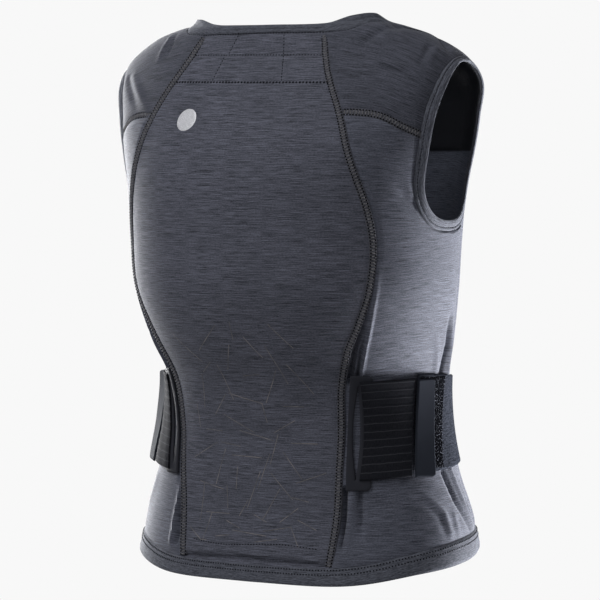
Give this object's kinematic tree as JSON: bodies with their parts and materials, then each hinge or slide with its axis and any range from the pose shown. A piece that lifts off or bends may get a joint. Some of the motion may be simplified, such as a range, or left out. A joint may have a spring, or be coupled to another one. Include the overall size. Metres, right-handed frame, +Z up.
{
  "type": "chest and back protector vest",
  "caption": "Sleeveless protector vest, worn close to the body: padded back between curved seams, shoulder yokes, stretch sides, bound edges and an elastic waist belt with pull tabs.",
  "frame": {"origin": "on the middle plane, at the level where the wearer's shoulders carry the vest", "axes": "+X toward the wearer's right, +Y toward the wearer's front, +Z up along the body; the back faces -Y"},
  "size_m": [0.318, 0.2288, 0.4449],
  "materials": {
    "back_knit": "heather jersey, matte, dark blue-grey",
    "yoke_knit": "heather jersey, matte, dark blue-grey",
    "side_knit": "stretch heather jersey with a soft sheen, mid blue-grey",
    "edge_knit": "folded jersey binding, matte, dark blue-grey",
    "belt_elastic": "ribbed woven elastic, matte, black",
    "zip_tape": "woven tape and moulded teeth, matte, black",
    "tab_rubber": "moulded, matte, dark grey",
    "loop_pile": "brushed loop pile, matte, black"
  },
  "bodies": {
    "root": {"back_panel": "back_knit", "yoke_left": "yoke_knit", "yoke_right": "yoke_knit", "side_panel_left": "side_knit", "side_panel_right": "side_knit", "front_panel_left": "side_knit", "front_panel_right": "side_knit", "front_tab_left": "side_knit", "front_tab_right": "side_knit", "neck_binding": "edge_knit", "armhole_binding_left": "edge_knit", "armhole_binding_right": "edge_knit", "hem_band": "edge_knit", "belt_anchor_left": "belt_elastic", "belt_anchor_right": "belt_elastic", "belt_strap_left": "belt_elastic", "belt_strap_right": "belt_elastic", "front_zip": "zip_tape", "pull_tab_left": "tab_rubber", "pull_tab_right": "tab_rubber", "loop_patch_left": "loop_pile", "loop_patch_right": "loop_pile"}
  },
  "joints": []
}
